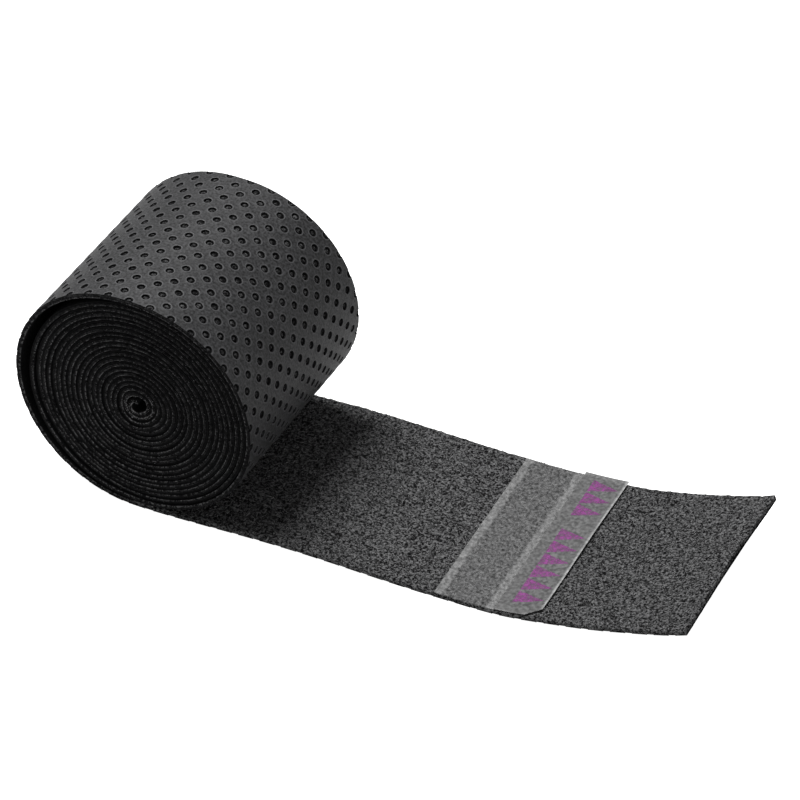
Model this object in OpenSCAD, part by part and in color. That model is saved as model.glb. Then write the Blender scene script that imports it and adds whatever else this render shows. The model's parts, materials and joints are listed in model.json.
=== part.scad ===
// Grip tape roll: perforated skin bonded to a felt backing, wound without a core,
// with a loose tail that carries a strip of adhesive film under a release liner.
// +X runs the way the tail leaves the roll, +Y along the roll's axis, +Z up.
// The origin is on the resting face, under the roll's axis, at the middle of the width.

/* [Tape] */
// Width of the tape
tape_w = 25; // [20:0.5:32]
// Thickness of the smooth outer skin
skin_t = 0.22; // [0.15:0.01:0.3]
// Thickness of the felt backing
felt_t = 0.38; // [0.25:0.01:0.6]

/* [Winding] */
// Number of turns in the roll
turns = 20.5; // [8:0.5:26]
// Radius of the small eye left in the middle
eye_r = 0.45; // [0.3:0.05:3]
// Air between one turn and the next
wind_gap = 0.04; // [0.02:0.01:0.08]
// How far the last turn stands off at the side away from the tail
slack_side = 1.1; // [0.2:0.1:2]
// How far the last turn stands off under the roll
slack_under = 0.1; // [0.05:0.05:0.8]

/* [Perforation] */
// Distance from one row of holes to the next, along and across the tape
hole_step = 1.297; // [1.1:0.001:1.6]
// Diameter of a hole
hole_d = 0.9; // [0.6:0.05:1]
// From the near edge of the tape to the first full row of holes
first_row = 1.52; // [1:0.01:2]
// From under the roll's axis to the first row of holes across the tail
first_column = 0.45; // [0.3:0.05:1.3]

/* [Tail] */
// Length of the tail from under the roll's axis to its cut end
tail_l = 64.5; // [60:0.5:80]
// Length of the tail that lies flat before it curls up
tail_flat = 38; // [30:1:44]
// Radius of the curl at the free end
curl_r = 66; // [50:1:140]
// Angle between the tail and the square across the roll's axis
tail_skew = 2.4; // [0:0.1:6]
// Length of the flat tape that stays with the roll
foot_l = 6; // [5:0.5:8]
// Slit between two neighbouring lengths of the tail
slit = 0.2; // [0.15:0.01:0.3]

/* [Adhesive strip] */
// From under the roll's axis to the strip
strip_start = 34.7; // [32:0.1:38]
// Width of the adhesive film
film_w = 7; // [5:0.1:8]
// Thickness of the adhesive film
film_t = 0.06; // [0.05:0.01:0.15]
// Thickness of the release liner
liner_t = 0.08; // [0.06:0.01:0.15]
// Air between the liner and what it lies on
liner_gap = 0.03; // [0.02:0.01:0.06]
// Width of the pull flap that overhangs the film
flap_w = 5.3; // [4:0.1:7]
// How far the liner overhangs the far edge of the tape
liner_over = 0.3; // [0:0.1:0.6]
// Length of the corner cut off the flap, along the tail
corner_l = 2.3; // [0:0.1:3]
// Width of the corner cut off the flap, across the tail
corner_w = 1.2; // [0:0.1:3]
// Tape left free on each side of the strip before the next bend
strip_margin = 3; // [1.5:0.5:4]

/* [Hidden] */
$fn = 64;
tape_t = skin_t + felt_t;
pitch = tape_t + wind_gap;
halves = round(2 * turns);
roll_r = eye_r + tape_t + halves * pitch / 2;
roll_z = roll_r + slack_under;
base_bends = 4;
tip_bends = 2;
lengths = base_bends + tip_bends;
strip_end = strip_start + film_w + flap_w;
zone_start = strip_start - strip_margin;
zone_end = strip_end + strip_margin;
base_step = (zone_start - foot_l) / (base_bends - 1);
tip_step = (tail_l - zone_end) / tip_bends;
film_z = tape_t;
liner_z = film_z + film_t + liner_gap;
left_r = roll_r + slack_under / 2;
right_r = roll_r - pitch / 2;
left_l = PI * left_r;
last_turn_l = left_l + slack_side + 0.97 * PI * right_r;
pin_l = 2 * skin_t;
rows = 1 + floor((tape_w - first_row + hole_d / 2) / hole_step);

skin_colour = [0.2, 0.2, 0.21];
felt_colour = [0.1, 0.1, 0.105];
film_colour = [0.42, 0.42, 0.42];
liner_colour = [0.5, 0.5, 0.5];

// Where bend number i crosses the tail, counted from the roll
function bend_at(i) =
    i <= base_bends ? foot_l + (i - 1) * base_step
    : zone_end + (i - base_bends - 1) * tip_step;

// Where length number i of the tail starts and ends, short of the slits
function length_start(i) = bend_at(i) + slit / 2;
function length_end(i) = i == lengths ? tail_l : bend_at(i + 1) - slit / 2;

// Depth of a layer's outer and inner faces below the outside of the tape
skin = [0, skin_t];
felt = [skin_t, tape_t];

// How far a row of holes is along the tail; rows with negative numbers are round the roll
function column_at(i) = first_column + i * hole_step;

// How far a point round the last turn is from where the turn starts
function round_turn(i) = -column_at(i) - slack_side;

// Half a ring of one layer about an axis along Y, from angle start through 180 degrees
module half_ring(centre_x, centre_z, outside_r, layer, start) {
    translate([centre_x, 0, centre_z])
        rotate([90, 0, 0])
            rotate_extrude(angle = 180, start = start)
                translate([outside_r - layer[1], -tape_w / 2])
                    square([layer[1] - layer[0], tape_w]);
}

// The wound turns inside the last one: left halves share one centre, right halves
// another that is half a pitch higher, so each half meets the next one smoothly
module wound_turns(layer) {
    for (k = [2 : halves])
        half_ring(0, roll_z + (k % 2) * pitch / 2, roll_r - k * pitch / 2, layer,
            k % 2 == 0 ? 90 : -90);
}

// The last turn: a wider left half that stands off, a short flat at the top, a right half
module last_turn(layer) {
    half_ring(-slack_side, roll_z - slack_under / 2, left_r, layer, 90);
    half_ring(0, roll_z + pitch / 2, right_r, layer, -90);
    translate([-slack_side, -tape_w / 2, roll_z + roll_r - layer[1]])
        cube([slack_side, tape_w, layer[1] - layer[0]]);
}

// The last turn's frame at a distance from its start, Z pointing out of the skin
module on_last_turn(distance) {
    top = distance - left_l;
    if (top < 0)
        translate([-slack_side, 0, roll_z - slack_under / 2])
            rotate([0, distance / left_r * 180 / PI - 180, 0])
                translate([0, 0, left_r])
                    children();
    else if (top < slack_side)
        translate([top - slack_side, 0, roll_z + roll_r])
            children();
    else
        translate([0, 0, roll_z + pitch / 2])
            rotate([0, (top - slack_side) / right_r * 180 / PI, 0])
                translate([0, 0, right_r])
                    children();
}

// The tail's own frame: X along the tail, turned a little off square
module tail_frame() {
    rotate([0, 0, tail_skew])
        children();
}

// The tail's frame at a distance along it, Z pointing from the skin into the felt
module on_tail(distance) {
    translate([min(distance, tail_flat), 0, curl_r])
        rotate([0, -max(distance - tail_flat, 0) / curl_r * 180 / PI, 0])
            translate([0, 0, -curl_r])
                children();
}

// One row of pins across the tape; every other row is staggered
module pin_row(i) {
    for (j = [abs(i) % 2 : 2 : rows])
        translate([0, -tape_w / 2 + first_row + (j - 1) * hole_step, -pin_l / 2])
            cylinder(d = hole_d, h = pin_l * 1.5, $fn = 16);
}

// Pins for the holes of the last turn
module last_turn_pins() {
    from = -ceil((last_turn_l + slack_side + first_column) / hole_step);
    for (i = [from : 0])
        if (round_turn(i) > hole_d && round_turn(i) < last_turn_l)
            on_last_turn(round_turn(i))
                rotate([180, 0, 0])
                    mirror([0, 1, 0])
                        pin_row(i);
}

// Pins for the holes of the tail between two distances, clear of the slits
module tail_pins(from, to) {
    clear = hole_d / 2 + slit / 4;
    for (i = [0 : ceil(tail_l / hole_step)])
        if (column_at(i) > from + clear && column_at(i) < to - clear)
            on_tail(column_at(i))
                pin_row(i);
}

// A run of sheet along the tail between two distances, between two heights above the
// resting face, flat at first and then round the curl
module sheet_run(from, to, low, high, width, centre_y = 0) {
    flat_to = min(to, tail_flat);
    curl_from = max(from, tail_flat);
    if (flat_to > from)
        translate([from, centre_y - width / 2, low])
            cube([flat_to - from, width, high - low]);
    if (to > curl_from)
        translate([tail_flat, centre_y, curl_r])
            rotate([90, 0, 0])
                rotate_extrude(angle = (to - curl_from) / curl_r * 180 / PI,
                    start = -90 + (curl_from - tail_flat) / curl_r * 180 / PI)
                    translate([curl_r - high, -width / 2])
                        square([high - low, width]);
}

// The flat tape under the roll: square to the roll behind the origin, in line with the
// tail ahead of it, and joined over the small wedge that the skew opens at one edge
module foot(layer) {
    translate([-slack_side, -tape_w / 2, layer[0]])
        cube([slack_side, tape_w, layer[1] - layer[0]]);
    tail_frame()
        sheet_run(0, foot_l - slit / 2, layer[0], layer[1], tape_w);
    translate([0, 0, layer[0]])
        linear_extrude(height = layer[1] - layer[0])
            polygon([[0, 0], [0, -tape_w / 2],
                tape_w / 2 * [sin(tail_skew), -cos(tail_skew)]]);
}

module tail_length(i, layer) {
    tail_frame()
        sheet_run(length_start(i), length_end(i), layer[0], layer[1], tape_w);
}

module adhesive_film() {
    color(film_colour)
        tail_frame()
            sheet_run(strip_start, strip_start + film_w, film_z, film_z + film_t, tape_w);
}

module release_liner() {
    color(liner_colour)
        tail_frame()
            sheet_run(strip_start, strip_start + film_w, liner_z, liner_z + liner_t,
                tape_w + liner_over, liner_over / 2);
}

module pull_flap() {
    color(liner_colour)
        tail_frame()
            difference() {
                sheet_run(strip_start + film_w + slit, strip_end, liner_z,
                    liner_z + liner_t, tape_w + liner_over, liner_over / 2);
                flap_corner();
            }
}

// A wedge that takes the near corner off the flap
module flap_corner() {
    translate([0, 0, liner_z - 1])
        linear_extrude(height = 3)
            polygon([[strip_end - corner_l, -tape_w / 2 - 1],
                [strip_end - corner_l, -tape_w / 2],
                [strip_end + 1, -tape_w / 2 + corner_w * (1 + 1 / corner_l)],
                [strip_end + 1, -tape_w / 2 - 1]]);
}

module wound_skin() { color(skin_colour) wound_turns(skin); }
module wound_felt() { color(felt_colour) wound_turns(felt); }
module outer_felt() { color(felt_colour) last_turn(felt); }
module foot_felt() { color(felt_colour) foot(felt); }
module tail_felt(i) { color(felt_colour) tail_length(i, felt); }

module outer_skin() {
    color(skin_colour)
        difference() {
            last_turn(skin);
            last_turn_pins();
        }
}

module foot_skin() {
    color(skin_colour)
        difference() {
            foot(skin);
            tail_frame()
                tail_pins(0, foot_l - slit / 2);
        }
}

module tail_skin(i) {
    color(skin_colour)
        difference() {
            tail_length(i, skin);
            tail_frame()
                tail_pins(length_start(i), length_end(i));
        }
}

wound_skin();
wound_felt();
outer_skin();
outer_felt();
foot_skin();
foot_felt();
for (i = [1 : lengths])
    tail_skin(i);
for (i = [1 : lengths])
    tail_felt(i);
adhesive_film();
release_liner();
pull_flap();
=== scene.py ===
"""A roll of grip tape: perforated skin on a felt backing, wound up, with a loose tail
that carries a strip of adhesive film under a release liner. Everything that is made of
tape is laid out flat first, in tape space, and then wound: along the tape from under the
roll's axis, across it, and depth from the skin's outside. Lengths are in metres."""

import json
import math

import bmesh
import bpy
import numpy as np
from bpy.props import FloatProperty, FloatVectorProperty, IntProperty, PointerProperty
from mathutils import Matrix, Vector


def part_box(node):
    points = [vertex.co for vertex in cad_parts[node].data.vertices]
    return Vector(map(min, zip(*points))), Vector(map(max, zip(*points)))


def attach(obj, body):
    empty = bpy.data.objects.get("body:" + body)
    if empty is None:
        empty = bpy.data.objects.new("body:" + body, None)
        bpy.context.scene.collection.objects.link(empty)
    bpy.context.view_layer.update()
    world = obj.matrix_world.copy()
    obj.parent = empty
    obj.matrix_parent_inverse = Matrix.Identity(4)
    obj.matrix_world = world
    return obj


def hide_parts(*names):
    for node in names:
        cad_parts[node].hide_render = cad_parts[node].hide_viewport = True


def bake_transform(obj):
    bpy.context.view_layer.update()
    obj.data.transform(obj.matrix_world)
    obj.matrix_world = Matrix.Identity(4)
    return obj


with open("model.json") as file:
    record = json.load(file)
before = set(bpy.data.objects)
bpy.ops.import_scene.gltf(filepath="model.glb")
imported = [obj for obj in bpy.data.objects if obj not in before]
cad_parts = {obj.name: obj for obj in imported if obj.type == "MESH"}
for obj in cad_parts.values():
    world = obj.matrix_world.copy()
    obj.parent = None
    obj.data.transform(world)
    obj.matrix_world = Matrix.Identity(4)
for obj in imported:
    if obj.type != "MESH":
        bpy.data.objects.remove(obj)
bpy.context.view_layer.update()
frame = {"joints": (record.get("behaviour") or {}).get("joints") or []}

bl_info = {
    "name": "Grip Tape Roll",
    "version": (1, 0, 0),
    "blender": (4, 5, 0),
    "location": "View3D > Sidebar > Grip Tape",
    "description": "Builds a roll of perforated grip tape with a loose tail",
    "category": "Add Mesh",
}

MM = 0.001
JOINTS = {joint["name"]: joint for joint in frame["joints"]}
BENDS = [f"tail_bend_{i}" for i in range(1, 5)] + [f"tip_bend_{i}" for i in (1, 2)]
# Where a length of tail is cut from the next, as a share of the way between their bends
CUT_SHARES = (0.35, 0.54, 0.72, 0.5, 0.5)
# The wound felt's section: shares of its half width, and levels on its edges
WOUND_ACROSS = (-1, -0.985, -0.92, 0.92, 0.985, 1)
WOUND_LEVELS = (0.15, 0.4, 0.6, 0.85)
FILM_T, LINER_T, INK_T = 0.06 * MM, 0.08 * MM, 0.006 * MM
# The liner's underside above the felt: the film and the adhesive on it
LINER_LIFT = 0.09 * MM
# How much of the tail lies under the film, the liner and the flap
STRIP_LENGTH = 12.3 * MM
# The film's cloudy bands, on the roll's side and on the flap's, and the flap's cut corner
BAND_WIDTHS = (1.05 * MM, 0.9 * MM)
CORNER_ALONG, CORNER_ACROSS = 1.6 * MM, 0.8 * MM
# The arrowheads on the flap: their steps from the near edge, with a gap between two rows
MARK_STEPS = (0, 1, 2, 3, 4, 5, 7, 8, 9)
MARK_STEP, FIRST_MARK, MARK_RADIUS = 2.28 * MM, 2.7 * MM, 1.3 * MM
# How the winding leaves an even spiral: how far the second turn stands off, how far the
# turns wobble, and how far the inner end tucks into the eye, over its last length
SECOND_STAND_OFF = 0.22 * MM
WOBBLES = (0.07 * MM, 0.05 * MM)
EYE_TUCK, EYE_TUCK_LENGTH = 0.55 * MM, 2.6 * MM
# How the tail leaves an even curl, with each start and length along it: a hump, a twist,
# the near side's way back from the twist, and a pull at the far corner
HUMP_LENGTH = 34 * MM
TWIST_START, TWIST_LENGTH, TWIST_SHARE = 41 * MM, 9 * MM, 0.75
BACK_START, BACK_LENGTH, BACK_SHARE = 56 * MM, 8 * MM, 0.8
PULL_START, PULL_LENGTH, PULL = 57 * MM, 7.5 * MM, 0.35 * MM


# ---------------------------------------------------------------- sizes and colours


def length_setting(name, description, default):
    return FloatProperty(name=name, description=description, default=default,
                         unit="LENGTH", precision=6)


class TapeSizes(bpy.types.PropertyGroup):
    """The sizes of the tape and of the way it is wound."""

    turns: FloatProperty(
        name="Turns", description="Number of turns in the roll", default=20.5, min=2)
    wind_gap: length_setting(
        "Gap", "Air between one turn and the next", 0.04 * MM)
    slack_under: length_setting(
        "Slack under", "How far the last turn stands off under the roll", 0.1 * MM)
    tail_flat: length_setting(
        "Flat tail", "Length of the tail that lies flat before it curls", 38 * MM)
    curl_radius: length_setting(
        "Curl radius", "Radius of the curl at the free end", 66 * MM)
    hump: length_setting(
        "Hump", "How far the flat part of the tail lifts off the table", 0.4 * MM)
    hole_step: length_setting(
        "Hole step", "From one row of holes to the next, both ways", 1.297 * MM)
    hole_width: length_setting(
        "Hole width", "Diameter of a hole", 0.9 * MM)
    first_row: length_setting(
        "First row", "From the near edge to the first full row of holes", 1.52 * MM)
    first_column: length_setting(
        "First column", "From under the axis to the first holes", 0.45 * MM)
    flap_width: length_setting(
        "Flap width", "Width of the pull flap, along the tape", 5.3 * MM)


class TapeLooks(bpy.types.PropertyGroup):
    """The colours of the finishes and how dense the felt's fibres are."""

    skin: FloatVectorProperty(
        name="Skin", description="Colour of the perforated skin",
        default=(0.027, 0.027, 0.0283), subtype="COLOR")
    felt: FloatVectorProperty(
        name="Felt", description="Colour of the felt's base",
        default=(0.0032, 0.0032, 0.0035), subtype="COLOR")
    fibre: FloatVectorProperty(
        name="Fibre", description="Colour of the loose fibres",
        default=(0.2, 0.2, 0.203), subtype="COLOR")
    film: FloatVectorProperty(
        name="Film", description="Colour of the adhesive film and its liner",
        default=(0.42, 0.42, 0.42), subtype="COLOR")
    ink: FloatVectorProperty(
        name="Ink", description="Colour of the marks on the flap",
        default=(0.3, 0.055, 0.275), subtype="COLOR")
    fibres_per_mm2: FloatProperty(
        name="Fibres", description="Loose fibres on each square millimetre of felt",
        default=8.0, min=0.0)
    seed: IntProperty(
        name="Seed", description="Start of the random placing", default=7)


class StageSettings(bpy.types.PropertyGroup):
    """The camera and the lights."""

    azimuth: FloatProperty(
        name="Azimuth", description="Way round the object from its near side",
        default=math.radians(27.27), subtype="ANGLE")
    elevation: FloatProperty(
        name="Elevation", description="Height of the camera above the horizon",
        default=math.radians(38.72), subtype="ANGLE")
    distance: FloatProperty(
        name="Distance", description="From the camera to the point it looks at",
        default=476.5 * MM, unit="LENGTH")
    target: FloatVectorProperty(
        name="Target", description="The point the camera looks at",
        default=(31.17 * MM, -11.18 * MM, 25.71 * MM), subtype="TRANSLATION", precision=6)
    lens: FloatProperty(
        name="Lens", description="Focal length in millimetres on a 36 mm sensor",
        default=205.7)


# ---------------------------------------------------------------- where the tape runs


def smooth(share):
    """0 before 0, 1 after 1, and an even rise between."""
    share = np.clip(share, 0, 1)
    return share * share * (3 - 2 * share)


def ripple(angle, seed, periods=(0.37, 0.83, 1.31, 2.17)):
    """A slow wander between about -1 and 1 along an angle."""
    phases = np.random.default_rng(seed).uniform(0, 2 * math.pi, len(periods))
    waves = [np.sin(p * angle + phase) for p, phase in zip(periods, phases)]
    return sum(waves) / 2.2


class TapePath:
    """Where the tape runs: places points of tape space on the roll and the tail."""

    def __init__(self, sizes):
        low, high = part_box("outer_skin")
        self.width = high.y - low.y
        self.skin_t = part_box("foot_skin")[1].z
        self.tape_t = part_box("foot_felt")[1].z
        self.stand_off = -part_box("foot_skin")[0].x
        axis = JOINTS["tail_bend_1"]["axis"]
        self.skew = math.atan2(axis[0], -axis[1])
        self.flat, self.curl, self.hump = sizes.tail_flat, sizes.curl_radius, sizes.hump
        self.sizes = sizes
        self.pitch = self.tape_t + sizes.wind_gap
        left_r = high.z / 2
        roll_r = left_r - sizes.slack_under / 2
        self.roll_z = left_r + sizes.slack_under / 2
        self.halves = round(2 * sizes.turns)
        steps = np.arange(self.halves + 1)
        self.radius = roll_r - steps * self.pitch / 2
        self.radius[0] = left_r
        self.centre_x = np.where(steps == 0, -self.stand_off, 0.0)
        self.centre_z = self.roll_z + (steps % 2) * self.pitch / 2
        self.centre_z[0] = left_r
        lengths = math.pi * self.radius
        self.start = self.stand_off + np.concatenate([[0], np.cumsum(lengths)[:-1]])
        self.start[1:] += self.stand_off
        self.inner_end = self.start[-1]
        self.bends = [self.along_of(JOINTS[name]["pos_m"]) for name in BENDS]
        last_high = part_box("tail_felt_6")[1].z
        lean = math.acos((self.curl - last_high) / (self.curl - self.tape_t))
        self.tail_end = self.flat + self.curl * lean
        self.cuts = [-self.stand_off]
        for share, here, there in zip(CUT_SHARES, self.bends, self.bends[1:]):
            self.cuts.append(here + share * (there - here))
        self.cuts.append(self.tail_end)

    def along_of(self, place):
        """How far along the tail a point of the row frame is."""
        x = place[0] * math.cos(self.skew) + place[1] * math.sin(self.skew)
        if x <= self.flat:
            return x
        return self.flat + self.curl * math.atan2(x - self.flat, self.curl - place[2])

    def wound(self, back, across, depth):
        """Places points that are a distance back from under the axis, on the roll."""
        half = self.half_at(back)
        radius = self.radius[half]
        inside = back - self.start[half]
        turned = np.clip(inside / radius, 0, math.pi)
        past = np.maximum(inside - math.pi * radius, 0)
        angle = turned + half * math.pi
        out = radius - depth + self.looseness(angle, back)
        x = self.centre_x[half] - out * np.sin(angle) + past
        z = self.centre_z[half] - out * np.cos(angle)
        under = back < self.start[0]
        x = np.where(under, -back, x)
        z = np.where(under, depth, z)
        return np.stack([x, across, z], -1)

    def looseness(self, angle, back):
        """How far the tape stands off its even winding at an angle from the outer end."""
        inside = angle - 2 * math.pi
        second = smooth(inside / 0.5) * smooth((2.1 - inside) / 1.2)
        wobble = WOBBLES[0] * np.sin(2 * angle + 0.6) + WOBBLES[1] * np.sin(3 * angle)
        wobble = wobble * smooth(inside / 9)
        tuck = np.clip(1 - (self.inner_end - back) / EYE_TUCK_LENGTH, 0, 1)
        return SECOND_STAND_OFF * second + wobble - EYE_TUCK * tuck ** 2

    def on_tail(self, along, across, depth):
        """Places points of the foot and the tail."""
        ramp = self.stand_off
        skew = self.skew * np.clip((along + ramp) / (2 * ramp), 0, 1)
        lift = self.hump * np.sin(math.pi * np.clip(along / HUMP_LENGTH, 0, 1)) ** 2
        lean = np.maximum(along - self.flat, 0) / self.curl
        arm = self.curl - depth
        side = across * 2 / self.width
        twist = smooth((along - TWIST_START) / TWIST_LENGTH)
        back = BACK_SHARE * smooth((along - BACK_START) / BACK_LENGTH)
        twist = twist * np.where(side < 0, 1 - back, 1)
        lift = lift - self.hump * TWIST_SHARE * side * twist
        pulled = PULL * smooth(side) * smooth((along - PULL_START) / PULL_LENGTH)
        straight = np.minimum(along, self.flat) + arm * np.sin(lean) + pulled
        z = self.curl - arm * np.cos(lean) + lift
        drift = self.skew * (along + ramp) ** 2 / (4 * ramp)
        centre_y = np.where(along > ramp, straight * math.sin(self.skew), drift)
        centre_x = np.where(along > ramp, straight * math.cos(self.skew), straight)
        return np.stack([centre_x - across * np.sin(skew),
                         centre_y + across * np.cos(skew), z], -1)

    def place(self, points):
        """Winds points of tape space, an array of (along, across, depth)."""
        along, across, depth = np.moveaxis(np.asarray(points, float), -1, 0)
        tail = self.on_tail(np.maximum(along, -self.stand_off), across, depth)
        roll = self.wound(np.maximum(-along, 0), across, depth)
        return np.where((along > -self.stand_off)[..., None], tail, roll)

    def half_at(self, back):
        """The number of the half turn that a place back along the tape is on."""
        return np.clip(np.searchsorted(self.start, back, side="right") - 1, 0, self.halves)

    def angle_at(self, along):
        """How far the tape has turned round the roll, from under the axis."""
        back = np.maximum(-along, 0)
        half = self.half_at(back)
        return half * math.pi + np.clip((back - self.start[half]) / self.radius[half], 0,
                                        math.pi)


# ---------------------------------------------------------------- making meshes


def select_only(*objects):
    bpy.ops.object.select_all(action="DESELECT")
    for thing in objects:
        thing.select_set(True)
    bpy.context.view_layer.objects.active = objects[0]


def apply_modifiers(thing):
    select_only(thing)
    for modifier in list(thing.modifiers):
        bpy.ops.object.modifier_apply(modifier=modifier.name)


def edit(thing, step, **values):
    """Runs one edit-mode step on the whole of a mesh."""
    select_only(thing)
    bpy.ops.object.mode_set(mode="EDIT")
    bpy.ops.mesh.select_all(action="SELECT")
    step(**values)
    bpy.ops.object.mode_set(mode="OBJECT")


def points_of(thing):
    points = np.zeros(len(thing.data.vertices) * 3)
    thing.data.vertices.foreach_get("co", points)
    return points.reshape(-1, 3)


def move_points(thing, points):
    thing.data.vertices.foreach_set("co", points.ravel())
    thing.data.update()


def store(thing, name, values):
    """Stores one number for each point, for the materials."""
    stored = thing.data.attributes.new(name, "FLOAT", "POINT")
    stored.data.foreach_set("value", values.astype(np.float32))


def store_place(thing, points):
    """Stores each point's place in tape space, in millimetres, for the materials."""
    stored = thing.data.attributes.new("tape", "FLOAT_VECTOR", "POINT")
    stored.data.foreach_set("vector", (points / MM).astype(np.float32).ravel())


def wind(thing, path):
    """Takes a piece modelled flat in tape space to its place on the roll or the tail."""
    points = points_of(thing)
    store_place(thing, points)
    move_points(thing, path.place(points))


def shade(thing, degrees=40):
    select_only(thing)
    bpy.ops.object.shade_smooth_by_angle(angle=math.radians(degrees))


def add_object(name, data):
    thing = bpy.data.objects.new(name, data)
    bpy.context.scene.collection.objects.link(thing)
    return thing


def joined_parts(name, parts, materials, path):
    """One wound object from parts in tape space: (points, faces, material, shade).
    The blocks of four-sided faces after a part's first are its flat ends."""
    points = np.concatenate([part[0] for part in parts])
    faces, slots, round_faces, shades, base = [], [], [], [], 0
    for part_points, part_faces, slot, part_shade in parts:
        for number, block in enumerate(part_faces):
            faces += (block + base).tolist()
            slots += [slot] * len(block)
            round_faces += [slot == 1 or number == 0] * len(block)
        shades.append(np.broadcast_to(part_shade, len(part_points)))
        base += len(part_points)
    mesh = bpy.data.meshes.new(name)
    mesh.from_pydata(path.place(points).tolist(), [], faces)
    mesh.polygons.foreach_set("material_index", slots)
    thing = add_object(name, mesh)
    store_place(thing, points)
    store(thing, "tone", np.concatenate(shades))
    for material in materials:
        mesh.materials.append(material)
    mesh.shade_smooth()
    crease_ends(mesh, np.array(round_faces))
    return thing


def crease_ends(mesh, round_faces):
    """Keeps the shading of a length's flat ends out of its sides."""
    edge_of = np.zeros(len(mesh.loops), int)
    mesh.loops.foreach_get("edge_index", edge_of)
    sizes = np.zeros(len(mesh.polygons), int)
    mesh.polygons.foreach_get("loop_total", sizes)
    is_round = np.repeat(round_faces, sizes)
    sharp = np.zeros(len(mesh.edges), bool)
    ends = np.bincount(edge_of[~is_round], minlength=len(sharp))
    sharp[ends == 1] = True
    mesh.edges.foreach_set("use_edge_sharp", sharp)


def swept(rings):
    """Points and faces of a closed bar: rings is (stations, ring, 3). The ring runs
    clockwise seen from the last station, and its points pair off from its two ends, so
    that each end closes with a ladder of quads."""
    stations, ring = rings.shape[:2]
    index = np.arange(stations * ring).reshape(stations, ring)
    here, after = index[:-1], index[1:]
    walls = np.stack([here, after, np.roll(after, -1, 1), np.roll(here, -1, 1)], -1)
    rung = np.arange(ring // 2 - 1)
    ladder = np.stack([rung, rung + 1, ring - 2 - rung, ring - 1 - rung], -1)
    first, last = index[0][ladder], index[-1][ladder][:, ::-1]
    return rings.reshape(-1, 3), [walls.reshape(-1, 4), first, last]


def section(across, wall_levels):
    """The cut across a sheet, from the middle of its near edge round over its inner
    side, down the far edge and back under its outer side. Gives for each point its
    share of the half width, its level (0 outer side, 1 inner) and its edge (-1, 0, 1)."""
    upper = [level for level in wall_levels if level > 0.5]
    lower = [level for level in wall_levels if level < 0.5]
    ring = [(-1, level, -1) for level in upper]
    ring += [(share, 1, 0) for share in across]
    ring += [(1, level, 1) for level in reversed(wall_levels)]
    ring += [(share, 0, 0) for share in reversed(across)]
    ring += [(-1, level, -1) for level in lower]
    return np.array(ring, float).T


def strands(rng, roots, plane, out, length, rise, radius, curl=2.6):
    """Points, faces and tones of curled fibres in tape space. Each starts at a root,
    runs in the plane of two directions and arches out of it, and is three-sided,
    pointed at both ends."""
    count = len(roots)
    along, aside, out = (np.asarray(v, float) for v in (*plane, out))
    heading = rng.uniform(0, 2 * math.pi, count)[:, None]
    turn = (rng.choice([-1, 1], count) * rng.uniform(0.6, curl, count))[:, None]
    reach = (length * rng.uniform(0.55, 1.35, count))[:, None]
    high = (rise * rng.uniform(0.3, 1.3, count))[:, None]
    share = np.linspace(0, 1, 5)[None]
    a = reach * (np.sin(heading + turn * share) - np.sin(heading)) / turn
    b = -reach * (np.cos(heading + turn * share) - np.cos(heading)) / turn
    lift = high * np.sin(math.pi * share ** 0.8)
    line = (roots[:, None] + a[..., None] * along + b[..., None] * aside
            + lift[..., None] * out)
    facing = heading + turn * share
    side = (-np.sin(facing)[..., None] * along + np.cos(facing)[..., None] * aside)
    hand = np.sign(np.dot(np.cross(along, aside), out))
    spokes = np.arange(3) * -hand * 2 * math.pi / 3
    thick = radius * rng.uniform(0.7, 1.3, count)[:, None, None, None]
    middle = line[:, 1:4, None] + thick * (
        np.cos(spokes)[None, None, :, None] * out
        + np.sin(spokes)[None, None, :, None] * side[:, 1:4, None])
    points = np.concatenate([line[:, :1], middle.reshape(count, 9, 3), line[:, 4:]], 1)
    ends, sides = [], []
    for k in range(3):
        after = (k + 1) % 3
        ends += [(0, 1 + after, 1 + k), (10, 7 + k, 7 + after)]
        for level in (1, 4):
            sides.append((level + k, level + after, level + 3 + after, level + 3 + k))
    base = np.arange(count)[:, None, None] * 11
    tones = np.repeat(rng.uniform(0, 1, count), 11)
    faces = [(base + np.array(ends)).reshape(-1, 3),
             (base + np.array(sides)).reshape(-1, 4)]
    return points.reshape(-1, 3), faces, tones


# ---------------------------------------------------------------- materials


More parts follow.
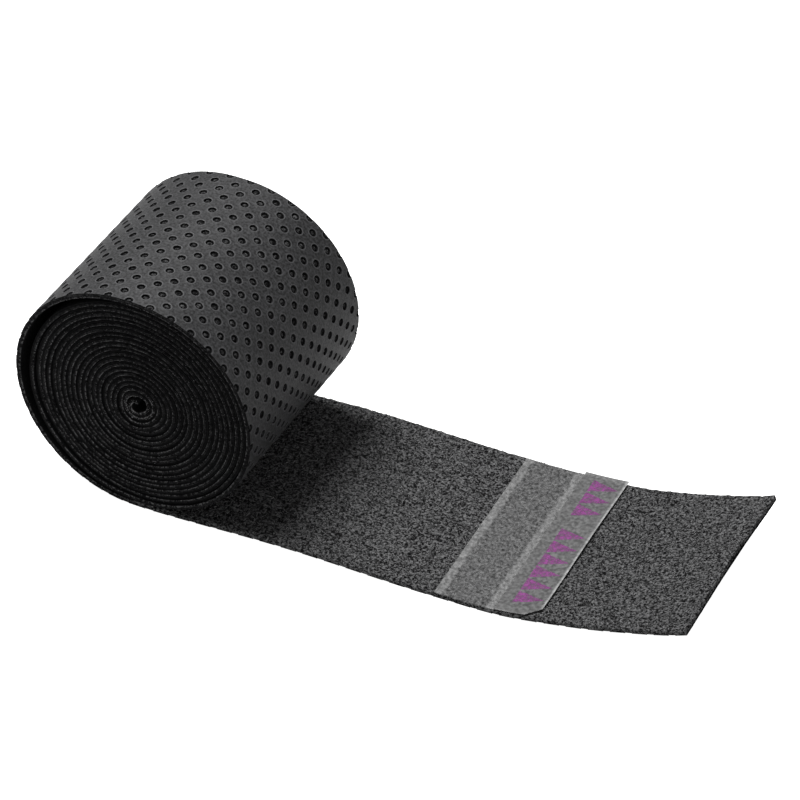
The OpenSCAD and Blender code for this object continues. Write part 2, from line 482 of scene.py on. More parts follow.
class Nodes:
    """Adds nodes to a tree, left to right, and links them by socket names."""

    def __init__(self, tree):
        self.tree = tree
        self.count = 0

    def add(self, kind, values=None, **settings):
        node = self.tree.nodes.new(kind)
        self.count += 1
        node.location = (self.count * 190 - 1500, (self.count % 4) * -170)
        for name, value in settings.items():
            setattr(node, name, value)
        return self.feed(node, values or {})

    def feed(self, node, values):
        """Links or sets a node's inputs, by name or number."""
        for name, value in values.items():
            if isinstance(value, bpy.types.NodeSocket):
                self.tree.links.new(value, node.inputs[name])
            else:
                node.inputs[name].default_value = value
        return node

    def read(self, attribute):
        node = self.add("ShaderNodeAttribute", attribute_name=attribute)
        return node.outputs["Fac"]

    def noise(self, place, scale, detail=2.0, distortion=0.0):
        return self.add("ShaderNodeTexNoise", {
            "Vector": place, "Scale": scale, "Detail": detail,
            "Distortion": distortion}).outputs["Fac"]

    def stretch(self, value, low, high, to_low=0.0, to_high=1.0):
        return self.add("ShaderNodeMapRange", {
            "Value": value, "From Min": low, "From Max": high, "To Min": to_low,
            "To Max": to_high}).outputs["Result"]

    def math(self, operation, one, two):
        return self.add("ShaderNodeMath", {0: one, 1: two},
                        operation=operation).outputs["Value"]

    def mix(self, share, one, two):
        return self.add("ShaderNodeMix", {0: share, 6: one, 7: two},
                        data_type="RGBA").outputs[2]

    def scale(self, colour, factor):
        return self.add("ShaderNodeVectorMath", {0: colour, 1: factor},
                        operation="MULTIPLY").outputs["Vector"]

    def bump(self, shader, height, strength, distance):
        node = self.add("ShaderNodeBump", {
            "Height": height, "Strength": strength, "Distance": distance})
        self.feed(shader, {"Normal": node.outputs["Normal"]})


def effect_group(name, inputs, outputs):
    """An empty node group with named sockets; gives its nodes, input and output."""
    group = bpy.data.node_groups.new(name, "ShaderNodeTree")
    for label, kind, default in inputs:
        socket = group.interface.new_socket(label, in_out="INPUT", socket_type=kind)
        if default is not None:
            socket.default_value = default
    for label, kind in outputs:
        group.interface.new_socket(label, in_out="OUTPUT", socket_type=kind)
    nodes = Nodes(group)
    return group, nodes, nodes.add("NodeGroupInput"), nodes.add("NodeGroupOutput")


def fine_grain():
    """The pebbled grain of a moulded sheet: a height and a slow drift of tone."""
    if "Fine Grain" in bpy.data.node_groups:
        return bpy.data.node_groups["Fine Grain"]
    group, nodes, entry, out = effect_group(
        "Fine Grain",
        [("Place", "NodeSocketVector", None), ("Pebbles per mm", "NodeSocketFloat", 5.0)],
        [("Height", "NodeSocketFloat"), ("Drift", "NodeSocketFloat")])
    place = entry.outputs["Place"]
    pebbles = nodes.add("ShaderNodeTexVoronoi", {
        "Vector": place, "Scale": entry.outputs["Pebbles per mm"]},
        feature="SMOOTH_F1").outputs["Distance"]
    fine = nodes.noise(place, 11.0, 3.0)
    height = nodes.math("SUBTRACT", fine, nodes.math("MULTIPLY", pebbles, 0.8))
    drift = nodes.noise(place, 0.16, 3.0)
    nodes.feed(out, {"Height": height, "Drift": nodes.stretch(drift, 0.3, 0.7)})
    return group


def fibre_speckle():
    """Matted fibres: light tufts on a dark ground, as a mask and a height."""
    if "Fibre Speckle" in bpy.data.node_groups:
        return bpy.data.node_groups["Fibre Speckle"]
    group, nodes, entry, out = effect_group(
        "Fibre Speckle",
        [("Place", "NodeSocketVector", None), ("Tufts per mm", "NodeSocketFloat", 3.2)],
        [("Tufts", "NodeSocketFloat"), ("Height", "NodeSocketFloat")])
    place, scale = entry.outputs["Place"], entry.outputs["Tufts per mm"]
    coarse = nodes.noise(place, scale, 1.0, 0.5)
    fine = nodes.noise(place, nodes.math("MULTIPLY", scale, 2.0), 1.0, 0.8)
    both = nodes.math("ADD", nodes.math("MULTIPLY", coarse, 0.5),
                      nodes.math("MULTIPLY", fine, 0.5))
    nodes.feed(out, {"Tufts": nodes.stretch(both, 0.44, 0.64), "Height": both})
    return group


def surface(name, roughness):
    """A material with its shader, and the place in tape space that its patterns follow."""
    material = bpy.data.materials.new(name)
    material.use_nodes = True
    material.node_tree.nodes.clear()
    nodes = Nodes(material.node_tree)
    where = nodes.add("ShaderNodeAttribute", attribute_name="tape").outputs["Vector"]
    shader = nodes.add("ShaderNodeBsdfPrincipled", {"Roughness": roughness})
    nodes.add("ShaderNodeOutputMaterial", {"Surface": shader.outputs["BSDF"]})
    return material, nodes, where, shader


def dim(colour, factor):
    return tuple(channel * factor for channel in colour) + (1.0,)


def skin_material(looks):
    material, nodes, where, shader = surface("perforated_skin", 0.5)
    grain = nodes.add("ShaderNodeGroup", {"Place": where, "Pebbles per mm": 5.0},
                      node_tree=fine_grain())
    ground = nodes.mix(grain.outputs["Drift"], dim(looks.skin, 0.8), dim(looks.skin, 1.15))
    grit = nodes.stretch(nodes.noise(where, 3.4, 1.0), 0.3, 0.7, 0.15, 1.85)
    # The bead's crest is painted three and a half times lighter than the skin: a painted
    # highlight round each hole.
    wear_and_sheen = nodes.mix(nodes.math("MULTIPLY", nodes.read("bead"), 0.9),
                     nodes.scale(ground, grit), dim(looks.skin, 3.5))
    gloss = nodes.stretch(grain.outputs["Height"], -0.2, 0.6, 0.6, 0.45)
    # Where cut is set, on the holes' walls, the skin is painted near black as the felt:
    # painted shade in the holes.
    colour = nodes.mix(nodes.read("cut"), wear_and_sheen, dim(looks.felt, 1))
    nodes.feed(shader, {"Base Color": colour, "Roughness": gloss})
    nodes.bump(shader, grain.outputs["Height"], 0.6, 0.04 * MM)
    return material


def felt_material(looks):
    material, nodes, where, shader = surface("matted_felt", 0.95)
    speckle = nodes.add("ShaderNodeGroup", {"Place": where, "Tufts per mm": 3.0},
                        node_tree=fibre_speckle())
    # The tone scales the light tufts: on the wound felt it holds painted shade and
    # highlight, on the holes' domes painted shade, and on the tail it is 1.
    light = nodes.math("MULTIPLY", speckle.outputs["Tufts"], nodes.read("tone"))
    colour = nodes.mix(light, dim(looks.felt, 1), dim(looks.fibre, 0.85))
    nodes.feed(shader, {"Base Color": colour, "Specular IOR Level": 0.1})
    nodes.bump(shader, speckle.outputs["Height"], 0.9, 0.12 * MM)
    return material


def fibre_material(looks):
    material, nodes, _, shader = surface("loose_fibre", 0.6)
    colour = nodes.mix(nodes.math("POWER", nodes.read("tone"), 1.5),
                       dim(looks.fibre, 0.06), dim(looks.fibre, 1.8))
    nodes.feed(shader, {"Base Color": colour, "Specular IOR Level": 0.2})
    return material


def cut_skin_material(looks):
    """The skin's cut edges, painted near black as the felt: painted shade where they lie
    between the turns and under the felt. This is most of what shows of the inner turns.
    """
    material, nodes, where, shader = surface("cut_skin", 0.9)
    tone = nodes.stretch(nodes.noise(where, 3.0, 1.0), 0.35, 0.65)
    colour = nodes.mix(tone, dim(looks.felt, 0.7), dim(looks.felt, 1.6))
    nodes.feed(shader, {"Base Color": colour, "Specular IOR Level": 0.1})
    return material


def film_material(name, looks, tint, band_tint, clear, cloudy, grit):
    """Film over felt, from clear to cloudy where its band attribute is 1. The tints
    scale the film's colour, and the grit is how far the felt's lumps vary it."""
    material, nodes, where, shader = surface(name, 0.35)
    band = nodes.read("band")
    tone = nodes.stretch(nodes.noise(where, 1.3, 4.0), 0.3, 0.7, 0.8, 1.1)
    fleck = nodes.stretch(nodes.noise(where, 2.8, 1.0), 0.3, 0.7, -grit, grit)
    fleck = nodes.math("MULTIPLY", fleck, nodes.stretch(band, 0.0, 1.0, 1.0, 0.45))
    fleck = nodes.math("ADD", fleck, 1.0)
    ground = nodes.mix(band, dim(looks.film, tint), dim(looks.film, band_tint))
    nodes.feed(shader, {
        "Base Color": nodes.scale(ground, nodes.math("MULTIPLY", tone, fleck)),
        "Alpha": nodes.stretch(band, 0.0, 1.0, clear, cloudy)})
    nodes.bump(shader, nodes.noise(where, 1.6, 3.0), 0.25, 0.05 * MM)
    return material


def ink_material(looks):
    material, nodes, where, shader = surface("marking_ink", 0.55)
    wear_and_sheen = nodes.noise(where, 2.2, 4.0)
    colour = nodes.mix(nodes.stretch(wear_and_sheen, 0.42, 0.62), dim(looks.ink, 1),
                       dim(looks.ink, 0.7))
    cover = nodes.stretch(nodes.noise(where, 3.1, 4.0, 0.6), 0.35, 0.6, 0.9, 0.3)
    nodes.feed(shader, {"Base Color": colour, "Alpha": cover})
    return material


def material_named(name, maker, *values):
    return bpy.data.materials.get(name) or maker(*values)


# ---------------------------------------------------------------- the pieces


def felt_stations(low, high, step):
    count = max(2, round((high - low) / step) + 1)
    return np.linspace(low, high, count)


def edge_wander(path, along, edge):
    """How far an edge of the wound tape stands out of the roll's face, in metres."""
    angle = path.angle_at(along)
    settled = smooth((angle - 0.5) / 3)
    return edge * 0.09 * MM * settled * ripple(angle, 11 + int(edge))


def felt_bar(path, rng, along, across, levels, rough, crown=0.09 * MM, swell=0.0):
    """The felt as a bar in tape space, with a rounded, ragged edge. Swell is how far it
    comes up into the holes that the skin's edges cut open."""
    share, level, edge = section(across, levels)
    shape = (len(along), len(share))
    half = path.width / 2
    wander = np.where(share[None] < 0, edge_wander(path, along, -1)[:, None],
                      edge_wander(path, along, 1)[:, None]) * (np.abs(share) > 0.8)
    bulge = edge * crown * np.sin(math.pi * level)
    ragged = rng.normal(0, rough, shape) * (edge != 0)
    y = share[None] * half + wander + bulge[None] + ragged * edge
    thin = 0.05 * MM * smooth(0.5 + ripple(path.angle_at(along), 5))[:, None]
    inner = path.tape_t - thin * (along[:, None] < 0)
    outer = path.skin_t - swell * smooth((np.abs(share[None]) - 0.97) / 0.03)
    h = outer + (inner - outer) * level[None]
    h = h + rng.normal(0, rough * 0.5, shape) * (level[None] > 0.9)
    x = np.broadcast_to(along[:, None], shape)
    return np.stack([x, y, h], -1)


def edge_fibres(path, rng, low, high, per_mm, edge, radius=0.022 * MM):
    """Fibres that stand out of one cut edge of the felt between two places along it."""
    count = int(abs(high - low) / MM * per_mm)
    along = rng.uniform(low, high, count)
    depth = rng.uniform(path.skin_t + 0.02 * MM, path.tape_t - 0.03 * MM, count)
    y = edge * (path.width / 2 - 0.02 * MM) + edge_wander(path, along, edge)
    roots = np.stack([along, y, depth], -1)
    return strands(rng, roots, ((1, 0, 0), (0, 0, 0.35)), (0, edge, 0), 0.36 * MM,
                   0.1 * MM, radius)


def hole_tufts(path, sizes, rng, low, high):
    """The felt that bulges into the skin's holes: one low dome, copied to every hole."""
    rows = np.arange(-1, round(path.width / sizes.hole_step))
    columns = np.arange(math.ceil((low - sizes.first_column) / sizes.hole_step),
                        math.ceil((high - sizes.first_column) / sizes.hole_step))
    column, row = (grid.ravel() for grid in np.meshgrid(columns, rows, indexing="ij"))
    column, row = column[(column + row) % 2 == 1], row[(column + row) % 2 == 1]
    centres = np.stack([sizes.first_column + column * sizes.hole_step,
                        sizes.first_row - path.width / 2 + row * sizes.hole_step,
                        rng.uniform(-0.03, 0.04, len(row)) * MM], -1)
    centres[:, :2] += rng.uniform(-0.04, 0.04, (len(row), 2)) * MM
    turn = np.arange(8) * -math.pi / 4
    ring = np.stack([np.cos(turn), np.sin(turn), np.zeros(8)], -1)
    dome = np.stack([ring * wide * MM + (0, 0, depth * MM)
                     for wide, depth in ((0.15, 0.06), (0.28, 0.12))]
                    + [ring * 0.42 * MM + (0, 0, path.skin_t + 0.06 * MM)])
    unit, blocks = swept(dome)
    size = rng.uniform(0.85, 1.12, (len(row), 1, 1)) * (1, 1, 0) + (0, 0, 1)
    points = (centres[:, None] + unit * size).reshape(-1, 3)
    points[:, 1] = np.clip(points[:, 1], -path.width / 2, path.width / 2)
    base = np.arange(len(row))[:, None, None] * len(unit)
    faces = (base + np.concatenate(blocks)).reshape(-1, 4)
    # The domes are painted darker than the tail's felt, and darkest at their rims under the
    # skin's walls: painted shade in the holes.
    tone = rng.uniform(0.5, 1.3, len(row))[:, None] * np.repeat((0.5, 0.36, 0.05), 8)
    return points, [faces], 0, tone.ravel()


def fuzz_highlight_and_shade(path, rings):
    """How light the wound felt is painted. Its sides take almost no tufts: painted shade
    under the skin and between the turns. Its cut edges take a line next to the skin of
    the turn inside, a fainter one next to the felt's own skin, and are lightest round the
    eye: partly the felt's fuzz and partly painted highlight on its rounded edges."""
    _, level, edge = section(WOUND_ACROSS, WOUND_LEVELS)
    level = np.broadcast_to(np.where(edge != 0, level, -1), rings.shape[:2])
    eye = smooth(1 - (rings[..., 0] + path.inner_end) / (45 * MM))
    tone = 0.02 + (0.95 + 1.6 * eye) * np.exp(-((level - 0.8) / 0.18) ** 2)
    return tone + 0.2 * np.exp(-((level - 0.2) / 0.15) ** 2)


def settings(context):
    """The sizes, the looks and the path of the tape that follows from the sizes."""
    sizes = context.scene.tape_sizes
    return sizes, context.scene.tape_looks, TapePath(sizes)


def felt_materials(looks):
    return [material_named("matted_felt", felt_material, looks),
            material_named("loose_fibre", fibre_material, looks)]


class GRIPTAPE_OT_wound_felt(bpy.types.Operator):
    """Winds the felt backing of the roll, with its ragged edges and loose fibres"""

    bl_idname = "griptape.wound_felt"
    bl_label = "Wound Felt"

    def execute(self, context):
        sizes, looks, path = settings(context)
        materials = felt_materials(looks)
        second = -path.start[2]
        for name, low, high, node in (
                ("wound_felt_turns", -path.inner_end, second, "wound_felt"),
                ("last_turn_felt", second, path.cuts[0], "outer_felt")):
            rng = np.random.default_rng(looks.seed + len(name))
            along = felt_stations(low, high, 0.35 * MM)
            rings = felt_bar(path, rng, along, WOUND_ACROSS, WOUND_LEVELS, 0.02 * MM,
                             swell=0.17 * MM if node == "outer_felt" else 0.0)
            parts = [(*swept(rings), 0, fuzz_highlight_and_shade(path, rings).ravel())]
            for edge in (-1, 1):
                points, faces, tones = edge_fibres(path, rng, low, high, 2.3, edge)
                # The roll's edge fibres are painted darker than the tail's: painted shade
                # on the roll's end faces.
                parts.append((points, faces, 1, tones * 0.75))
                if node == "wound_felt":
                    points, faces, tones = edge_fibres(
                        path, rng, low, low + 22 * MM, 8, edge, 0.032 * MM)
                    parts.append((points, faces, 1, 0.5 + tones * 0.5))
            if node == "outer_felt":
                parts.append(hole_tufts(path, sizes, rng, low, high))
            thing = joined_parts(name, parts, materials, path)
            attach(thing, "roll")
            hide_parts(node)
        return {"FINISHED"}


class GRIPTAPE_OT_tail_felt(bpy.types.Operator):
    """Lays the felt side of the loose tail, one length for each bend"""

    bl_idname = "griptape.tail_felt"
    bl_label = "Tail Felt"

    def execute(self, context):
        sizes, looks, path = settings(context)
        rng = np.random.default_rng(looks.seed)
        materials = felt_materials(looks)
        strip = path.along_of(JOINTS["liner_peel"]["pos_m"])
        lengths = [felt_stations(low, high, 0.3 * MM)
                   for low, high in zip(path.cuts, path.cuts[1:])]
        along = np.concatenate([lengths[0][:1]] + [length[1:] for length in lengths])
        rings = self.relief(path, rng, along, strip)
        first = 0
        for number, length in enumerate(lengths, 1):
            last = first + len(length) - 1
            parts = [(*swept(rings[first:last + 1]), 0, 1.0)]
            parts += self.fibres(path, rng, length[0], length[-1], strip, looks)
            parts.append(hole_tufts(path, sizes, rng, length[0], length[-1]))
            first = last
            thing = joined_parts(f"tail_felt_length_{number}", parts, materials, path)
            bend_piece(thing, path, number)
            foot = ["foot_felt"] if number == 1 else []
            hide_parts(f"tail_felt_{number}", *foot)
        return {"FINISHED"}

    def relief(self, path, rng, along, strip):
        """The whole tail's felt, lumpy on top except where the film presses it flat."""
        rings = felt_bar(path, rng, along, np.linspace(-1, 1, 84), (0.3, 0.7), 0.025 * MM,
                         crown=0.05 * MM, swell=0.16 * MM)
        covered = smooth((along - strip + 0.3 * MM) / (0.4 * MM)) * smooth(
            (strip + STRIP_LENGTH - along) / (0.4 * MM))
        lumps = rng.normal(0, 0.03 * MM, rings.shape[:2])
        on_top = rings[..., 2] > path.tape_t - 0.1 * MM
        rings[..., 2] += np.where(
            on_top, lumps * (1 - covered[:, None]) - 0.02 * MM * covered[:, None], 0)
        return rings

    def fibres(self, path, rng, low, high, strip, looks):
        area = (high - low) * path.width / MM ** 2
        count = int(area * looks.fibres_per_mm2)
        roots = np.stack([rng.uniform(low, high, count),
                          rng.uniform(-0.5, 0.5, count) * path.width * 0.99,
                          np.full(count, path.tape_t - 0.015 * MM)], -1)
        inside = roots[:, 0] - strip
        covered = (inside > -0.1 * MM) & (inside < STRIP_LENGTH - 0.2 * MM)
        parts = []
        for chosen, rise in ((~covered, 0.08 * MM), (covered, 0.012 * MM)):
            if chosen.any():
                points, faces, tones = strands(
                    rng, roots[chosen], ((1, 0, 0), (0, 1, 0)), (0, 0, 1), 0.42 * MM,
                    rise, 0.03 * MM)
                parts.append((points, faces, 1, tones))
        for edge in (-1, 1):
            points, faces, tones = edge_fibres(path, rng, low, high, 2.5, edge)
            parts.append((points, faces, 1, tones))
        return parts


def bend_piece(thing, path, number):
    """Bakes a length of tail's place into its mesh. It works out where the length's bend
    starts and ends, from its joint, but does not use them.
    """
    bend = path.bends[number - 1]
    reach = min(bend - path.cuts[number - 1], path.cuts[number] - bend)
    if number == 1:
        reach = path.cuts[1] - bend
    middle = path.tape_t / 2
    ends = path.place(np.array([[bend - reach, 0, middle], [bend + reach, 0, middle]]))
    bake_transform(thing)


class GRIPTAPE_OT_wound_skin(bpy.types.Operator):
    """Winds the skin of the inner turns"""

    bl_idname = "griptape.wound_skin"
    bl_label = "Wound Skin"

    def execute(self, context):
        _, looks, path = settings(context)
        along = felt_stations(-path.inner_end, -path.start[2], 0.26 * MM)
        share, level, _ = section((-1, -0.9, 0.9, 1), (0.3, 0.7))
        shape = (len(along), len(share))
        y = np.broadcast_to(share * path.width / 2, shape).copy()
        for side in (-1, 1):
            out = edge_wander(path, along, side) - side * 0.04 * MM
            y[:, share == side] += out[:, None]
        x = np.broadcast_to(along[:, None], shape)
        h = np.broadcast_to(path.skin_t * level, shape)
        parts = [(*swept(np.stack([x, y, h], -1)), 0, 0.0)]
        material = material_named("cut_skin", cut_skin_material, looks)
        thing = joined_parts("wound_skin_turns", parts, [material], path)
        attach(thing, "roll")
        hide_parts("wound_skin")
        return {"FINISHED"}


def hole_cell(path, sizes):
    """One hole of the skin with its raised rim, and the diamond of skin round it."""
    radius, sides = sizes.hole_width / 2, 12
    bpy.ops.object.select_all(action="DESELECT")
    bpy.ops.mesh.primitive_circle_add(
        vertices=sides, radius=radius, fill_type="NOTHING", location=(0, 0, 0))
    cell = bpy.context.object
    cell.name = "hole_cell"
    for vertex in cell.data.vertices:
        vertex.co.z = path.skin_t
    bpy.ops.object.mode_set(mode="EDIT")
    bpy.ops.mesh.select_all(action="SELECT")
    # Through the hole, up on the bead, down off it, out to the diamond, back inside
    for inward, depth in ((1, 0.012 * MM - path.skin_t), (1.16, -0.036 * MM),
                          (1.22, 0.024 * MM), (1.4, 0), (1, path.skin_t)):
        bpy.ops.mesh.extrude_region_move(
            TRANSFORM_OT_translate={"value": (0, 0, depth)})
        bpy.ops.transform.resize(value=(inward, inward, 1))
    bpy.ops.object.mode_set(mode="OBJECT")
    mesh = bmesh.new()
    mesh.from_mesh(cell.data)
    crest = mesh.verts.layers.float.new("bead")
    cut = mesh.verts.layers.float.new("cut")
    mesh.verts.ensure_lookup_table()
    rings = [mesh.verts[i:i + sides] for i in range(0, sides * 6, sides)]
    diamond = rings[4] + rings[5]
    for vertex in diamond:
        angle = math.atan2(vertex.co.y, vertex.co.x)
        reach = sizes.hole_step / (abs(math.cos(angle)) + abs(math.sin(angle)))
        vertex.co.x, vertex.co.y = reach * math.cos(angle), reach * math.sin(angle)
    wall = [face for face in mesh.faces if all(v in diamond for v in face.verts)]
    bmesh.ops.delete(mesh, geom=wall, context="FACES_ONLY")
    for k in range(sides):
        after = (k + 1) % sides
        mesh.faces.new((rings[5][k], rings[5][after], rings[0][after], rings[0][k]))
    loose = [edge for edge in mesh.edges if not edge.link_faces]
    bmesh.ops.delete(mesh, geom=loose, context="EDGES")
    # The bead's crest is marked for a painted highlight.
    for vertex in rings[2]:
        vertex[crest] = 1.0
    # The hole's wall is marked to be painted near black: painted shade in the hole.
    for vertex in rings[0] + rings[1]:
        vertex[cut] = 0.85
    bmesh.ops.recalc_face_normals(mesh, faces=mesh.faces)
    mesh.to_mesh(cell.data)
    mesh.free()
    return cell


def repeat(thing, offset, count):
    """Repeats a mesh by a constant offset and joins the copies where they meet."""
    array = thing.modifiers.new("copies", "ARRAY")
    array.use_relative_offset = False
    array.use_constant_offset = True
    array.constant_offset_displace = offset
    array.count = count
    apply_modifiers(thing)


def trim(thing, place, normal, close=True):
    """Cuts off what lies past a plane, and closes the cut or leaves it open."""
    edit(thing, bpy.ops.mesh.bisect, plane_co=place, plane_no=normal, use_fill=close,
         clear_outer=True, threshold=1e-7)


def perforated_sheet(path, sizes):
    """The whole skin from the last turn's start to the tail's end, flat in tape space."""
    cell = hole_cell(path, sizes)
    step = sizes.hole_step
    first = 2 * math.floor((-path.start[2] - sizes.first_column) / step / 2) - 2
    last = math.ceil((path.tail_end - sizes.first_column) / step) + 2
    rows = math.ceil(path.width / step / 2) + 2
    repeat(cell, (2 * step, 0, 0), (last - first) // 2 + 1)
    repeat(cell, (step, step, 0), 2)
    repeat(cell, (0, 2 * step, 0), rows)
    corner = Vector((sizes.first_column + first * step,
                     -path.width / 2 + sizes.first_row - 3 * step, 0))
    for vertex in cell.data.vertices:
        vertex.co += corner
    edit(cell, bpy.ops.mesh.remove_doubles, threshold=2e-6)
    trim(cell, (0, path.width / 2, 0), (0, 1, 0))
    trim(cell, (0, -path.width / 2, 0), (0, -1, 0))
    return cell


def cut_length(sheet, name, path, low, high):
    """A copy of part of the flat sheet, between two places along it. Its cut edges take
    the second material."""
    piece = sheet.copy()
    piece.data = sheet.data.copy()
    piece.name = piece.data.name = name
    bpy.context.scene.collection.objects.link(piece)
    trim(piece, (high, 0, 0), (1, 0, 0))
    trim(piece, (low, 0, 0), (-1, 0, 0))
    for face in piece.data.polygons:
        x, y, _ = face.center
        outside = min(path.width / 2 - abs(y), high - x, x - low) < 1e-7
        face.material_index = int(outside and abs(face.normal.z) < 0.3)
    return piece


class GRIPTAPE_OT_perforated_skin(bpy.types.Operator):
    """Punches the skin and lays it round the last turn and under the tail"""

    bl_idname = "griptape.perforated_skin"
    bl_label = "Perforated Skin"

    def execute(self, context):
        sizes, looks, path = settings(context)
        sheet = perforated_sheet(path, sizes)
        materials = [material_named("perforated_skin", skin_material, looks),
                     material_named("cut_skin", cut_skin_material, looks)]
        lengths = [("last_turn_skin", -path.start[2], path.cuts[0])]
        lengths += [(f"tail_skin_length_{i}", low, high)
                    for i, (low, high) in enumerate(zip(path.cuts, path.cuts[1:]), 1)]
        for number, (name, low, high) in enumerate(lengths):
            piece = cut_length(sheet, name, path, low, high)
            for material in materials:
                piece.data.materials.append(material)
            wind(piece, path)
            shade(piece)
            if number == 0:
                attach(piece, "roll")
                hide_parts("outer_skin")
            else:
                bend_piece(piece, path, number)
                foot = ["foot_skin"] if number == 1 else []
                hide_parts(f"tail_skin_{number}", *foot)
        bpy.data.objects.remove(sheet)
        return {"FINISHED"}


def film_grid(name, low, high, near, far, bottom):
    """A flat grid in tape space, from a primitive grid moved to its place."""
    bpy.ops.object.select_all(action="DESELECT")
    columns = max(4, round((high - low) / (0.35 * MM)))
    bpy.ops.mesh.primitive_grid_add(
        x_subdivisions=columns, y_subdivisions=40, size=1,
        location=((low + high) / 2, (near + far) / 2, bottom))
    sheet = bpy.context.object
    sheet.name = sheet.data.name = name
    sheet.scale = (high - low, far - near, 1)
    bpy.ops.object.transform_apply(location=True, rotation=True, scale=True)
    return sheet


def thicken(thing, thickness):
    """Gives a flat sheet its thickness, upwards in depth, with a fine rounded edge."""
    solid = thing.modifiers.new("thickness", "SOLIDIFY")
    solid.thickness = thickness
    solid.offset = 1
    edge = thing.modifiers.new("edge", "BEVEL")
    edge.width = thickness * 0.2
    edge.segments = 2
    edge.limit_method = "ANGLE"
    apply_modifiers(thing)


def band_attribute(thing, bands):
    """Marks the cloudy bands, and on the flap a painted highlight along its free edge: each
    is a start and an end along the tape.
    """
    along = points_of(thing)[:, 0]
    inside = np.zeros(len(along))
    for low, high in bands:
        inside = np.maximum(inside, smooth((along - low) / (0.12 * MM))
                            * smooth((high - along) / (0.12 * MM)))
    store(thing, "band", inside)


class GRIPTAPE_OT_adhesive_film(bpy.types.Operator):
    """Lays the adhesive film across the tail, with a dry band along each long edge"""

    bl_idname = "griptape.adhesive_film"
    bl_label = "Adhesive Film"

    def execute(self, context):
        _, looks, path = settings(context)
        half = path.width / 2
        low = path.along_of(JOINTS["liner_peel"]["pos_m"])
        high = path.along_of(JOINTS["flap_lift"]["pos_m"]) - 0.1 * MM
        film = film_grid("adhesive_film_strip", low, high, -half, half, path.tape_t)
        thicken(film, FILM_T)
        band_attribute(film, ((low - MM, low + BAND_WIDTHS[0]),
                              (high - BAND_WIDTHS[1], high + MM)))
        film.data.materials.append(material_named(
            "clear_film", film_material, "clear_film", looks, 0.84, 0.84, 0.085, 0.42, 0.9))
        wind(film, path)
        shade(film)
        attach(film, "tail_4")
        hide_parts("adhesive_film")
        return {"FINISHED"}


class GRIPTAPE_OT_release_liner(bpy.types.Operator):
    """Lays the release liner over the film, and its flap with the printed marks"""

    bl_idname = "griptape.release_liner"
    bl_label = "Release Liner"

    def execute(self, context):
        sizes, looks, path = settings(context)
        half = path.width / 2
        low = path.along_of(JOINTS["liner_peel"]["pos_m"])
        hinge = path.along_of(JOINTS["flap_lift"]["pos_m"])
        bottom = path.tape_t + LINER_LIFT
        far = half + 0.3 * MM
        liner = film_grid("liner_sheet", low, hinge - 0.05 * MM, -half, far, bottom)
        thicken(liner, LINER_T)
        band_attribute(liner, ())
        liner.data.materials.append(material_named(
            "liner_film", film_material, "liner_film", looks, 0.84, 1.2, 0.06, 0.6, 0.7))
        wind(liner, path)
        shade(liner)
        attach(liner, "liner")
        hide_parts("release_liner")
        self.flap(path, sizes, looks, hinge, bottom, half, far)
        return {"FINISHED"}

    def flap(self, path, sizes, looks, hinge, bottom, half, far):
        low, high = hinge - 0.05 * MM, hinge - 0.1 * MM + sizes.flap_width
        flap = film_grid("flap_sheet", low, high, -half, far, bottom)
        trim(flap, (high - CORNER_ALONG, -half, 0),
             (CORNER_ACROSS / MM, -CORNER_ALONG / MM, 0), close=False)
        thicken(flap, LINER_T)
        # The flap's last 0.14 mm at its free edge is painted as a light band: a painted
        # highlight along the lifted edge.
        band_attribute(flap, ((high - 0.14 * MM, high + MM),))
        lift_edge(flap, low, high)
        flap.data.materials.append(material_named(
            "flap_film", film_material, "flap_film", looks, 0.385, 1.1, 0.8, 0.95, 0.42))
        marks = flap_marks(low, high, half, bottom + LINER_T + 0.003 * MM)
        lift_edge(marks, low, high)
        marks.data.materials.append(material_named("marking_ink", ink_material, looks))
        for piece in (flap, marks):
            wind(piece, path)
            shade(piece)
            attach(piece, "flap")
        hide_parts("pull_flap")


def lift_edge(thing, low, high):
    """Lifts the flap's free edge a little off the felt."""
    points = points_of(thing)
    share = np.clip((points[:, 0] - low) / (high - low), 0, 1)
    wave = 1 + 0.35 * np.sin(points[:, 1] / MM * 0.33 + 0.8)
    points[:, 2] += 0.16 * MM * share ** 2 * wave
    move_points(thing, points)


def flap_marks(low, high, half, level):
    """Two rows of plain arrowheads that point the way to peel, as thin flat ink."""
    bpy.ops.object.select_all(action="DESELECT")
    heads = []
    for k in MARK_STEPS:
        y = -half + FIRST_MARK + k * MARK_STEP
        bpy.ops.mesh.primitive_circle_add(
            vertices=3, radius=MARK_RADIUS, fill_type="NGON",
            location=((low + high) / 2 - 0.1 * MM, y, level),
            rotation=(0, 0, -math.pi / 2))
        heads.append(bpy.context.object)
    select_only(*heads)
    bpy.ops.object.transform_apply(location=False, rotation=True, scale=False)
    for head in heads:
        head.scale = (1.7, 0.95, 1)
    bpy.ops.object.transform_apply(location=True, rotation=False, scale=True)
    bpy.ops.object.join()
    marks = bpy.context.object
    marks.name = marks.data.name = "flap_marks"
    edit(marks, bpy.ops.mesh.quads_convert_to_tris)
    edit(marks, bpy.ops.mesh.subdivide, number_cuts=5)
    solid = marks.modifiers.new("thickness", "SOLIDIFY")
    solid.thickness = INK_T
    apply_modifiers(marks)
    return marks


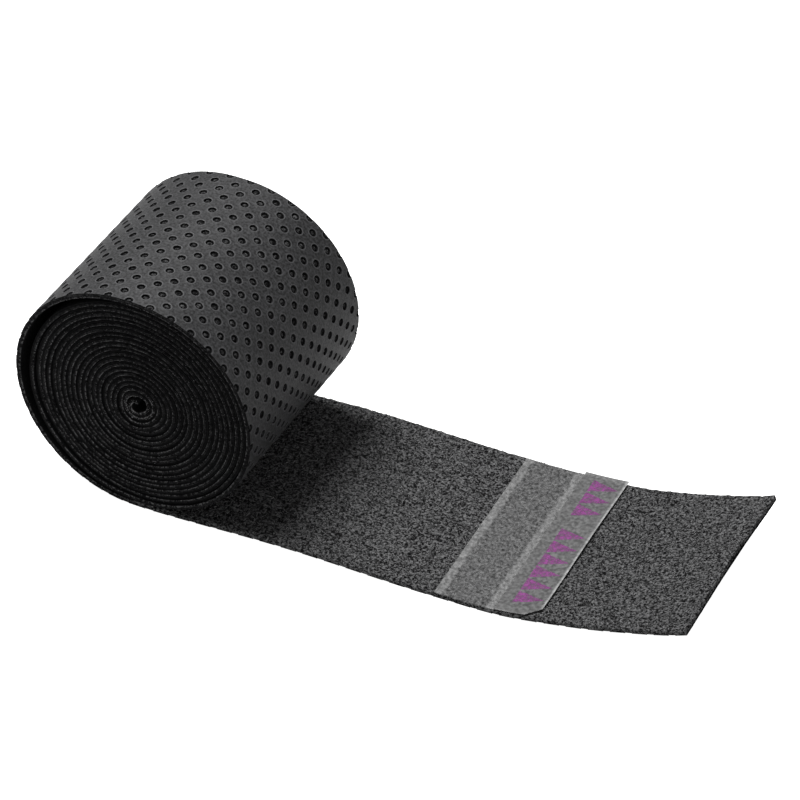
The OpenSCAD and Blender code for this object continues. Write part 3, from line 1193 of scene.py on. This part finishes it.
class GRIPTAPE_OT_stage(bpy.types.Operator):
    """Sets the camera, the soft lights and the pale floor"""

    bl_idname = "griptape.stage"
    bl_label = "Stage"

    def execute(self, context):
        stage = context.scene.stage_settings
        self.camera(context, stage)
        self.floor()
        self.lights(context)
        return {"FINISHED"}

    def camera(self, context, stage):
        data = bpy.data.cameras.new("camera")
        data.lens, data.sensor_width = stage.lens, 36
        data.clip_start, data.clip_end = 0.01, 20
        a, e = stage.azimuth, stage.elevation
        back = Vector((math.sin(a) * math.cos(e), -math.cos(a) * math.cos(e), math.sin(e)))
        context.scene.camera = self.aimed(
            "camera", data, Vector(stage.target) + back * stage.distance, -back)

    def aimed(self, name, data, place, direction):
        """A camera or a light at a place, looking in a direction."""
        thing = add_object(name, data)
        thing.location = place
        thing.rotation_mode = "QUATERNION"
        thing.rotation_quaternion = direction.to_track_quat("-Z", "Y")
        return thing

    def floor(self):
        bpy.ops.object.select_all(action="DESELECT")
        bpy.ops.mesh.primitive_plane_add(size=6, location=(0, 0, -0.03 * MM))
        floor = bpy.context.object
        floor.name = "floor"
        material, nodes, _, shader = surface("pale_floor", 0.9)
        seen = nodes.add("ShaderNodeLightPath").outputs["Is Camera Ray"]
        nodes.feed(shader, {"Base Color": (0.6, 0.6, 0.6, 1),
                            "Emission Color": (1, 1, 1, 1), "Emission Strength": seen})
        floor.data.materials.append(material)

    def lights(self, context):
        world = bpy.data.worlds.new("studio")
        world.use_nodes = True
        nodes = Nodes(world.node_tree)
        seen = nodes.add("ShaderNodeLightPath").outputs["Is Camera Ray"]
        nodes.feed(world.node_tree.nodes["Background"], {
            "Color": (1, 1, 1, 1), "Strength": nodes.stretch(seen, 0.0, 1.0, 0.2, 1.0)})
        context.scene.world = world
        context.scene.view_settings.view_transform = "Standard"
        for name, place, size, power in (
                ("key", (-0.19, 0.03, 0.57), 0.3, 4.4),
                ("fill", (0.45, -0.55, 0.35), 0.4, 0.6)):
            data = bpy.data.lights.new(name, "AREA")
            data.size, data.energy = size, power
            self.aimed(name, data, place, Vector((0.02, 0, 0.01)) - Vector(place))


STEPS = ("stage", "wound_felt", "wound_skin", "perforated_skin", "tail_felt",
         "adhesive_film", "release_liner")


class GRIPTAPE_PT_panel(bpy.types.Panel):
    """Lists the steps that build the roll, and its settings"""

    bl_idname = "GRIPTAPE_PT_panel"
    bl_label = "Grip Tape Roll"
    bl_space_type = "VIEW_3D"
    bl_region_type = "UI"
    bl_category = "Grip Tape"

    def draw(self, context):
        for step in STEPS:
            self.layout.operator(f"griptape.{step}")
        for group in (context.scene.tape_sizes, context.scene.tape_looks,
                      context.scene.stage_settings):
            box = self.layout.box()
            for name in group.__annotations__:
                box.prop(group, name)


CLASSES = (TapeSizes, TapeLooks, StageSettings, GRIPTAPE_OT_wound_felt,
           GRIPTAPE_OT_tail_felt, GRIPTAPE_OT_wound_skin, GRIPTAPE_OT_perforated_skin,
           GRIPTAPE_OT_adhesive_film, GRIPTAPE_OT_release_liner, GRIPTAPE_OT_stage,
           GRIPTAPE_PT_panel)


def register():
    for item in CLASSES:
        bpy.utils.register_class(item)
    bpy.types.Scene.tape_sizes = PointerProperty(type=TapeSizes)
    bpy.types.Scene.tape_looks = PointerProperty(type=TapeLooks)
    bpy.types.Scene.stage_settings = PointerProperty(type=StageSettings)


def unregister():
    del bpy.types.Scene.stage_settings
    del bpy.types.Scene.tape_looks
    del bpy.types.Scene.tape_sizes
    for item in reversed(CLASSES):
        bpy.utils.unregister_class(item)


def main():
    register()
    for step in STEPS:
        getattr(bpy.ops.griptape, step)()


if __name__ == "__main__":
    main()
